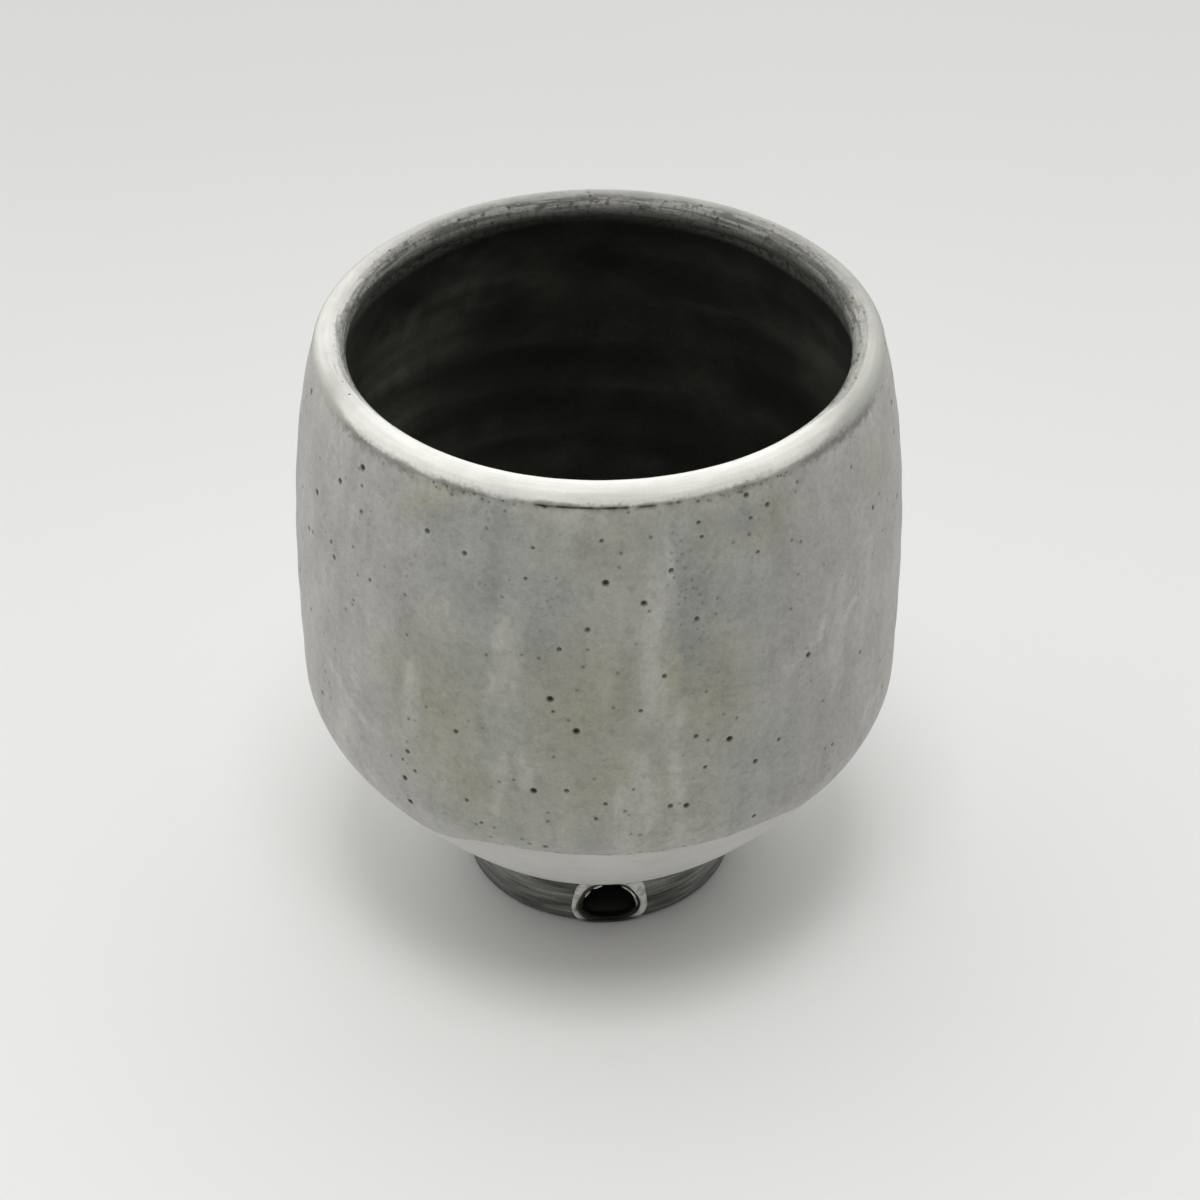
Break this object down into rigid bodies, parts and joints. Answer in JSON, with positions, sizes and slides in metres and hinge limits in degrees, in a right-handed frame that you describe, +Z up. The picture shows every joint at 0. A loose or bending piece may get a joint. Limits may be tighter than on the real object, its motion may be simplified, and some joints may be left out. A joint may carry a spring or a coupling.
{
  "type": "wine cup",
  "caption": "Handle-less footed stoneware wine cup with a rounded lip, upright glazed wall, pale cone and a ring foot with a drain notch.",
  "frame": {"origin": "middle of the foot, on the surface that the cup stands on", "axes": "+Z up along the cup's axis, -Y towards the side with the drain notch"},
  "size_m": [0.0864, 0.0864, 0.0918],
  "materials": {
    "stoneware": "dark fired stoneware, burnished by turning",
    "luting_slip": "dry dark slip",
    "pale_slip": "smooth pale slip, satin",
    "grey_glaze": "satin grey glaze with dark pinholes and olive runs",
    "white_glaze": "white satin glaze",
    "charcoal_glaze": "satin charcoal glaze"
  },
  "bodies": {
    "root": {"bowl": "stoneware", "foot_ring": "stoneware", "luting_slip": "luting_slip", "collar_slip": "pale_slip", "wall_glaze": "grey_glaze", "lip_glaze": "white_glaze", "liner_glaze": "charcoal_glaze", "notch_glaze": "white_glaze"}
  },
  "joints": []
}
